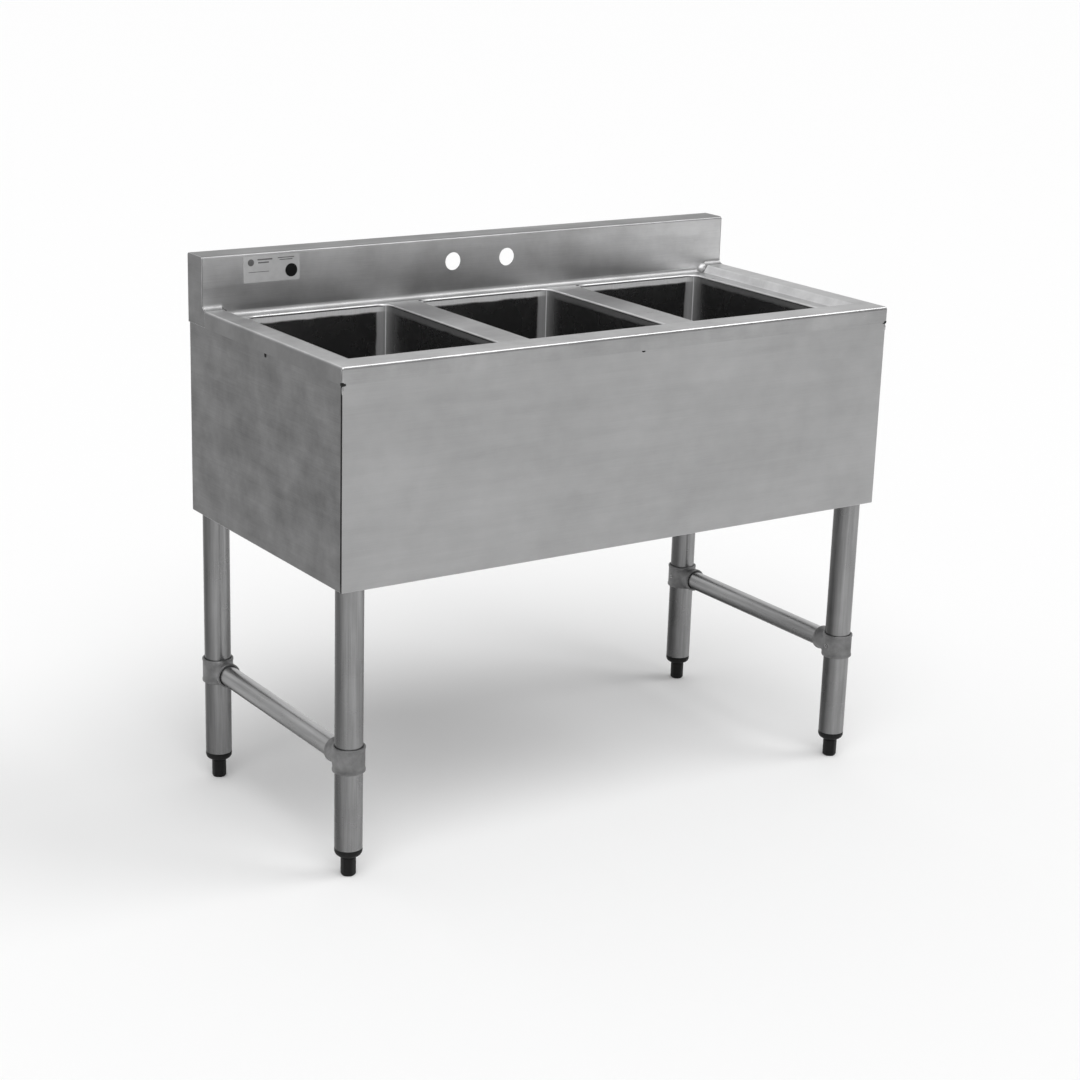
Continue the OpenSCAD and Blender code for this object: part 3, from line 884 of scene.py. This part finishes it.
def collar_distance(screw_side):
    """Distance to the cast tee, in millimetres, with its tee along +Y and a screw hole along screw_side X."""

    def distance(x, y, z):
        around = np.hypot(x, y)
        beside = np.hypot(x, z)
        body = round_cylinder(around, z, 23.7, 19, 1.6)
        tee = round_cylinder(beside, y - 20, 18.6, 20, 1.6)
        shape = smooth_union(body, tee, 7)
        for lip_z in (-17, 17):
            shape = smooth_union(shape, round_cylinder(around, z - lip_z, 24.3, 2, 0.9), 1.5)
        shape = smooth_union(shape, round_cylinder(beside, y - 37.5, 19.5, 2.5, 1.1), 1.5)
        shape = np.maximum(shape, 20.85 - around)
        shape = np.maximum(shape, np.where(y < 0, -FAR, 16.05 - beside))
        side_hole = np.hypot(y, z) - SCREW_HOLE_R + np.where(x * screw_side < 0, FAR, 0)
        foot_hole = np.hypot(x, y - 32) - SCREW_HOLE_R + np.where(z > 0, FAR, 0)
        return np.maximum(shape, -np.minimum(side_hole, foot_hole))

    return distance


def build_collar(side, end):
    node = f"collar_{end}_{side}"
    low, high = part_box(node)
    leg_low, leg_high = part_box(f"leg_{end}_{side}")
    centre = Vector(((leg_low.x + leg_high.x) / 2, (leg_low.y + leg_high.y) / 2, (low.z + high.z) / 2))
    turn = 1 if end == "front" else -1
    points, quads = surface_net(collar_distance(-SIDES[side] * turn), (-26, -26, -21), (26, 42, 21), 0.9)
    points = points * MM
    points[:, 0] *= turn
    points[:, 1] *= turn
    bm = bmesh.new()
    verts = [bm.verts.new(p) for p in points + np.array(centre)]
    for quad in quads:
        bm.faces.new([verts[i] for i in quad])
    bmesh.ops.recalc_face_normals(bm, faces=bm.faces)
    obj = finish_mesh(bm, node.replace("collar", "tee_collar"), smooth_deg=50)
    return place(obj, CAST, "root", [node])


# ---- feet ------------------------------------------------------------------------------------------


def build_foot_insert(side, end):
    node = f"foot_insert_{end}_{side}"
    low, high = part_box(node)
    centre = (low + high) / 2
    radius = (high.x - low.x) / 2
    bore = 11.65 * MM
    seat_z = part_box(f"leg_{end}_{side}")[0].z
    profile = [(bore, high.z), (radius - 2 * MM, high.z), (radius - 1.75 * MM, seat_z)]
    profile += [(radius - 0.1 * MM, seat_z - 0.1 * MM), (radius, seat_z - 1 * MM)]
    round_w = 8 * MM
    for r, z in arc(radius - round_w, 0, round_w, 0, -78, 8):
        profile.append((r, seat_z - 3.5 * MM + z * (seat_z - 3.5 * MM - low.z) / round_w))
    profile += [(bore + 0.6 * MM, low.z), (bore, low.z + 0.6 * MM)]
    bm = bmesh.new()
    lathe(bm, profile, centre=(centre.x, centre.y, 0), segments=72)
    weld_points(bm)
    obj = weighted(finish_mesh(bm, f"leg_insert_{end}_{side}"))
    return place(obj, BLACK, "root", [node])


def hexagon_radius(angle, corner_r):
    """The radius of a hexagon with soft corners, turned so that two of them stand out to the sides."""
    sharpness = 0.55
    sector = math.radians(60)
    angle += math.radians(34)
    offset = (angle + sector / 2) % sector - sector / 2
    flat = corner_r * math.cos(sector / 2) / math.cos(sector / 2 - abs(offset))
    return flat * sharpness + corner_r * (1 - sharpness)


def build_foot(side, end):
    """A foot: a six-sided lower end for a wrench and a threaded stem above it.

    Its sections are (scale, height, how six-sided).
    """
    node = f"foot_{end}_{side}"
    low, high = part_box(node)
    centre = (low + high) / 2
    radius = (high.x - low.x) / 2
    grip_top = 27 * MM
    sections = [
        (0.80, 0, 1),
        (0.93, 0.7 * MM, 1),
        (0.995, 2.2 * MM, 1),
        (1.0, 4 * MM, 1),
        (1.0, grip_top - 1 * MM, 1),
        (0.985, grip_top, 0.4),
        (0.96, grip_top + 0.6 * MM, 0),
    ]
    pitch = 2.5 * MM
    z = grip_top + 1.5 * MM
    while z < high.z - 3 * MM:
        for scale, turn in ((0.93, 0), (0.99, 0.3), (0.99, 0.5), (0.93, 0.8)):
            sections.append((scale, z + pitch * turn, 0))
        z += pitch
    sections += [
        (0.93, high.z - 2 * MM, 0),
        (0.86, high.z - 0.4 * MM, 0),
        (0.80, high.z, 0),
    ]
    rows = []
    for scale, z, six in sections:
        row = []
        for k in range(72):
            a = 2 * math.pi * k / 72
            r = scale * (hexagon_radius(a, radius) * six + radius * (1 - six))
            row.append((centre.x + r * math.cos(a), centre.y + r * math.sin(a), low.z + z))
        rows.append(row)
    bm = bmesh.new()
    verts = add_rows(bm, rows, closed=True)
    bm.faces.new(verts[0][::-1])
    bm.faces.new(verts[-1])
    weld_points(bm)
    obj = weighted(finish_mesh(bm, f"levelling_foot_{end}_{side}", smooth_deg=40))
    return place(obj, BLACK, f"foot_{end}_{side}_body", [node])


# ---- drains ----------------------------------------------------------------------------------------


def build_drain(name):
    node = f"drain_body_{name}"
    low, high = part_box(node)
    centre = (low + high) / 2
    cup_z = -27 * MM
    outlet_z = low.z - FLOOR_Z
    outlet_r = 24.13 * MM
    bore_r = 20.53 * MM
    profile = [(40 * MM, -24 * MM), (40 * MM, -2 * MM)]
    profile += arc(43.5 * MM, -1 * MM, 3.5 * MM, 180, 90, 5)
    profile += [
        (54 * MM, 2.3 * MM),
        (56.2 * MM, 1.6 * MM),
        (57 * MM, 0.6 * MM),
        (56.6 * MM, 0),
        (42.5 * MM, 0),
    ]
    profile += thread(42.5 * MM, -2 * MM, cup_z + 4 * MM)
    profile += [(42 * MM, cup_z + 1 * MM), (41 * MM, cup_z), (outlet_r, cup_z)]
    profile += thread(outlet_r, cup_z - 3 * MM, outlet_z + 1 * MM)
    profile += [
        (outlet_r - 0.8 * MM, outlet_z),
        (bore_r, outlet_z),
        (bore_r, -24.6 * MM),
        (bore_r + 0.6 * MM, -24 * MM),
    ]
    bm = bmesh.new()
    lathe(bm, profile, centre=(centre.x, centre.y, FLOOR_Z), segments=72)
    weld_points(bm)
    obj = weighted(finish_mesh(bm, f"basket_drain_{name}"))
    return place(obj, POLISHED, "root", [node])


def thread(radius, start_z, end_z):
    """A thread's profile down a cylinder."""
    pitch = 2.2 * MM
    depth = 0.6 * MM
    points = []
    z = start_z
    while z - pitch > end_z:
        points += [(radius, z), (radius, z - 0.25 * pitch), (radius - depth, z - 0.5 * pitch)]
        points += [(radius - depth, z - 0.75 * pitch)]
        z -= pitch
    return points + [(radius, z)]


def build_strainer(name):
    """A lift-out basket: perforated floor, plain wall, post and knob."""
    node = f"strainer_{name}"
    low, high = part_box(node)
    centre = (low + high) / 2
    radius = (high.x - low.x) / 2
    wall = 1.2 * MM
    height = 20.8 * MM
    outlines = [arc(0, 0, radius - 2 * wall, 0, 360, 72)[:-1]]
    for ring_r, count in ((12 * MM, 8), (20 * MM, 12), (28 * MM, 18)):
        for x, y in arc(0, 0, ring_r, 0, 360, count)[:-1]:
            outlines.append(arc(x, y, 2 * MM, 0, 360, 12)[:-1])
    bm = bmesh.new()
    layers = []
    for z, up in ((wall, 1), (0, -1)):
        loops = [[bm.verts.new((x, y, z)) for x, y in outline] for outline in outlines]
        fill_with_holes(bm, loops[0], loops[1:], (0, 0, up))
        layers.append(loops[1:])
    for upper, lower in zip(*layers):
        for i in range(len(upper)):
            bm.faces.new([upper[i - 1], upper[i], lower[i], lower[i - 1]])
    basket = [
        (radius - 2 * wall, 0),
        (radius - 0.4 * wall, 0.4 * MM),
        (radius, 1.6 * MM),
        (radius, height - 1.2 * MM),
        (radius - 0.3 * wall, height - 0.4 * MM),
        (radius - 0.5 * wall, height),
        (radius - wall, height - 0.6 * MM),
        (radius - wall, wall + 1 * MM),
        (radius - 2 * wall, wall),
    ]
    lathe(bm, basket, segments=72, closed=False)
    top = high.z - low.z
    post = [
        (0, wall / 2),
        (3.5 * MM, wall / 2),
        (3.5 * MM, top - 5 * MM),
        (4.4 * MM, top - 4 * MM),
        (7.4 * MM, top - 3.6 * MM),
        (8 * MM, top - 2.6 * MM),
        (7.7 * MM, top - 1.2 * MM),
        (6 * MM, top - 0.3 * MM),
        (0, top),
    ]
    lathe(bm, post, segments=40, closed=False)
    weld_points(bm)
    bmesh.ops.translate(bm, verts=bm.verts, vec=(centre.x, centre.y, low.z))
    obj = weighted(finish_mesh(bm, f"strainer_basket_{name}"))
    return place(obj, POLISHED, f"strainer_{name}_body", [node])


# ---- label, welds and reliefs ----------------------------------------------------------------------


def flat_patch(name, outline, front_y, depth, material, replaces=()):
    """A thin plate on the backsplash. The outline is (x, z) points, anticlockwise seen from the front."""
    bm = bmesh.new()
    faces = [[bm.verts.new((x, y, z)) for x, z in outline] for y in (front_y, front_y + depth)]
    bm.faces.new(faces[0])
    bm.faces.new(faces[1][::-1])
    for i in range(len(outline)):
        j = (i + 1) % len(outline)
        bm.faces.new([faces[0][j], faces[0][i], faces[1][i], faces[1][j]])
    bmesh.ops.recalc_face_normals(bm, faces=bm.faces)
    return place(finish_mesh(bm, name), material, "root", replaces)


# Each bar's left and foot from the label's middle, its width and its height, in millimetres
LABEL_BARS = [
    (-24, 13.2, 25, 2.2),
    (-23, 8.6, 18, 2.2),
    (10, 14.5, 28, 1.3),
    (13, 11.4, 22, 1.3),
    (-39, -4.6, 34, 0.9),
]


def build_label():
    """A plain foil label: a grey disc, plain bars and a plain dark disc, with no lettering."""
    low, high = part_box("label_plate")
    x, z = (low.x + high.x) / 2, (low.z + high.z) / 2
    half_w, half_h = (high.x - low.x) / 2, (high.z - low.z) / 2
    face = low.y + 0.25 * MM
    ink_t = 0.08 * MM
    plate = [(x + px, z + pz) for px, pz in rounded_rect(half_w, half_h, 2 * MM, 4, 1)]
    flat_patch("label_foil_plate", plate, face, high.y - face, STICKER, ["label_plate"])
    ink = face - ink_t
    disc = arc(x + 33 * MM, z - 5 * MM, 10.2 * MM, 0, 360, 40)[:-1]
    flat_patch("label_dark_disc", disc, ink, ink_t, INK_DARK)
    dot = arc(x - 35 * MM, z + 10.5 * MM, 5.2 * MM, 0, 360, 32)[:-1]
    flat_patch("label_grey_disc", dot, ink, ink_t, INK_GREY)
    for i, (bx, bz, w, h) in enumerate(LABEL_BARS):
        left, foot = x + bx * MM, z + bz * MM
        bar = [(left, foot), (left + w * MM, foot), (left + w * MM, foot + h * MM), (left, foot + h * MM)]
        flat_patch(f"label_bar_{i}", bar, ink, ink_t, INK_GREY)


def lump(name, centre, half_sizes, material):
    """A small uneven bead, kept inside the box of the CAD."""
    bm = bmesh.new()
    bmesh.ops.create_icosphere(bm, subdivisions=3, radius=1)
    for i, v in enumerate(bm.verts):
        wobble = 1 + 0.10 * math.sin(5 * v.co.x + 3 * v.co.z) * math.cos(4 * v.co.y + i % 3)
        for axis in range(3):
            place_at = centre[axis] + v.co[axis] * half_sizes[axis] * wobble
            v.co[axis] = min(max(place_at, cad_low[axis]), cad_high[axis])
    return place(finish_mesh(bm, name, smooth_deg=180), material, "root")


def build_corner_details():
    """Reliefs, tacks and seams where the flange's corners were cut and welded, and small burnt spots. The
    near-black beads in the corner reliefs, in the mitre grooves and in the pit beside the backsplash are
    painted shade.
    """
    for name, side in SIDES.items():
        # Painted shade: a near-black bead in the corner's relief notch.
        relief = (side * (END_X - 3.6 * MM), FRONT_Y + 3.6 * MM, FLANGE_Z + 1 * MM)
        lump(f"corner_relief_shade_{name}", relief, (4.6 * MM, 4.6 * MM, 3.4 * MM), SCORCH_AND_PAINTED_SHADE)
        tack = (side * (END_X - SHEET - 0.8 * MM), FRONT_Y + SHEET + 0.8 * MM, FLANGE_Z - 8 * MM)
        lump(f"corner_tack_{name}", tack, (1.9 * MM, 1.9 * MM, 6 * MM), STEEL_END)
        # Painted shade: a near-black strip inside the mitre groove.
        groove = (side * (END_X - 1.2 * MM), FRONT_Y + 2 * MM, (FLANGE_Z + RIM_Z) / 2 - 2 * MM)
        lump(f"corner_groove_shade_{name}", groove, (0.7 * MM, 0.7 * MM, 9.5 * MM), SCORCH_AND_PAINTED_SHADE)
    front_tack = (15 * MM, FRONT_Y + SHEET, FLANGE_Z - 0.3 * MM)
    lump("flange_tack_front", front_tack, (3.2 * MM, 1.2 * MM, 2.4 * MM), SCORCH_AND_PAINTED_SHADE)
    for name, side in SIDES.items():
        end_tack = (side * (END_X - SHEET), -11 * MM, FLANGE_Z - 3 * MM)
        lump(f"flange_tack_{name}", end_tack, (1.2 * MM, 2.6 * MM, 3.4 * MM), SCORCH_AND_PAINTED_SHADE)
    for name, index in (("centre", 0), ("right", 1)):
        x = index * BOWL_PITCH - BOWL_HALF_W + 3 * MM
        scorch = (x, BOWL_Y + BOWL_HALF_L - 1 * MM, DECK_Z - 0.2 * MM)
        lump(f"bowl_scorch_{name}", scorch, (3.5 * MM, 1.6 * MM, 1 * MM), SCORCH_AND_PAINTED_SHADE)
    step_x = END_X - RIM_SIDE - STEP_SIDE / 2
    # Painted shade: a near-black bead for the pit beside the backsplash.
    lump("corner_pit_shade", (-step_x, SPLASH_Y - 2 * MM, DECK_Z + 9 * MM), (3 * MM, 1 * MM, 2.2 * MM), SCORCH_AND_PAINTED_SHADE)
    lump("corner_fillet", (step_x, SPLASH_Y - 1 * MM, DECK_Z + 5 * MM), (11 * MM, 6 * MM, 9 * MM), WELD)


# ---- carried-over CAD nodes --------------------------------------------------------------------------


def dress(node, material, edge=0.3 * MM):
    """Gives a CAD node that stays its material and soft edges."""
    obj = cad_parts[node]
    obj.data.materials.clear()
    obj.data.materials.append(material)
    soften(obj, edge, angle_deg=40)
    weighted(obj)


# ---- studio ------------------------------------------------------------------------------------------

FLOOR_GREY = 0.93
SKY_AHEAD = 0.34
SKY_BEHIND = 0.80

CAMERA_AT = Vector((-1.9298, -2.8312, 1.4298))
CAMERA_YAW = 0.599
CAMERA_PITCH = -0.296
CAMERA_ROLL = 0.031
CAMERA_LENS = 75.19
SENSOR = 36


def build_camera():
    ahead = Vector((
        math.sin(CAMERA_YAW) * math.cos(CAMERA_PITCH),
        math.cos(CAMERA_YAW) * math.cos(CAMERA_PITCH),
        math.sin(CAMERA_PITCH),
    ))
    level = Vector((math.cos(CAMERA_YAW), -math.sin(CAMERA_YAW), 0))
    above = level.cross(ahead)
    right = level * math.cos(CAMERA_ROLL) + above * math.sin(CAMERA_ROLL)
    up = above * math.cos(CAMERA_ROLL) - level * math.sin(CAMERA_ROLL)
    data = bpy.data.cameras.new("camera")
    data.lens = CAMERA_LENS
    data.sensor_width = SENSOR
    data.clip_end = 100
    camera = bpy.data.objects.new("camera", data)
    rotation = Matrix((right, up, -ahead)).transposed().to_4x4()
    camera.matrix_world = Matrix.Translation(CAMERA_AT) @ rotation
    bpy.context.scene.collection.objects.link(camera)
    bpy.context.scene.camera = camera


def plain_material(name, grey):
    material = bpy.data.materials.new(name)
    material.use_nodes = True
    shader = material.node_tree.nodes["Principled BSDF"]
    shader.inputs["Base Color"].default_value = (grey, grey, grey, 1)
    shader.inputs["Roughness"].default_value = 0.9
    return material


def build_floor():
    reach = 60
    mesh = bpy.data.meshes.new("studio_floor")
    corners = [(-reach, -reach, 0), (reach, -reach, 0), (reach, reach, 0), (-reach, reach, 0)]
    mesh.from_pydata(corners, [], [(0, 1, 2, 3)])
    mesh.materials.append(plain_material("studio_floor", FLOOR_GREY))
    obj = bpy.data.objects.new("studio_floor", mesh)
    bpy.context.scene.collection.objects.link(obj)


def build_sky():
    """Light from all round: dim ahead, brighter behind the sink, so that metal has something to show."""
    world = bpy.data.worlds.new("studio")
    world.use_nodes = True
    tree = world.node_tree
    direction = tree.nodes.new("ShaderNodeTexCoord").outputs["Generated"]
    axes = tree.nodes.new("ShaderNodeSeparateXYZ")
    level = tree.nodes.new("ShaderNodeMapRange")
    tree.links.new(direction, axes.inputs[0])
    tree.links.new(axes.outputs["Y"], level.inputs["Value"])
    level.inputs["From Min"].default_value = -0.3
    level.inputs["From Max"].default_value = 0.8
    level.inputs["To Min"].default_value = SKY_AHEAD
    level.inputs["To Max"].default_value = SKY_BEHIND
    tree.nodes["Background"].inputs["Color"].default_value = (1, 1, 1, 1)
    tree.links.new(level.outputs[0], tree.nodes["Background"].inputs["Strength"])
    bpy.context.scene.world = world


def build_sun(name, azimuth_deg, height_deg, power, spread_deg):
    """A broad, even light. The azimuth is the way its light travels, from +Y towards +X."""
    azimuth = math.radians(azimuth_deg)
    height = math.radians(height_deg)
    flat = math.cos(height)
    travel = Vector((math.sin(azimuth) * flat, math.cos(azimuth) * flat, -math.sin(height)))
    data = bpy.data.lights.new(name, "SUN")
    data.energy = power
    data.angle = math.radians(spread_deg)
    obj = bpy.data.objects.new(name, data)
    obj.rotation_euler = travel.to_track_quat("-Z", "Y").to_euler()
    bpy.context.scene.collection.objects.link(obj)


def build_studio():
    build_floor()
    build_sky()
    build_sun("key", 25, 58, 1.5, 50)
    build_sun("edge", -63, 50, 0.7, 30)
    bpy.context.scene.view_settings.view_transform = "Standard"


# ---- the object ----------------------------------------------------------------------------------------


def build_object():
    build_deck()
    build_backsplash()
    for name, side in SIDES.items():
        build_splash_cap(name, side)
    for name in BOWLS:
        low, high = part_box(f"bowl_{name}")
        build_bowl(name, (low.x + high.x) / 2)
        build_drain(name)
        build_strainer(name)
        dress(f"drain_gasket_{name}", RUBBER)
        dress(f"drain_locknut_{name}", DIE_CAST, 0.4 * MM)
    build_aprons()
    for side in SIDES:
        build_tube(f"side_rail_{side}", f"rail_{side}", 1, STEEL_RAIL)
        dress(f"leg_channel_{side}", STEEL_MILL)
        for end in ENDS:
            build_tube(f"leg_tube_{end}_{side}", f"leg_{end}_{side}", 2, STEEL_LEG)
            build_collar(side, end)
            build_foot_insert(side, end)
            build_foot(side, end)
            dress(f"socket_{end}_{side}", STEEL_MILL)
    dress("rear_channel", STEEL_CHANNEL)
    dress("socket_screws", SCREW, 0.4 * MM)
    dress("collar_screws", SCREW, 0.2 * MM)
    build_label()
    build_corner_details()


build_camera()
build_studio()
build_object()
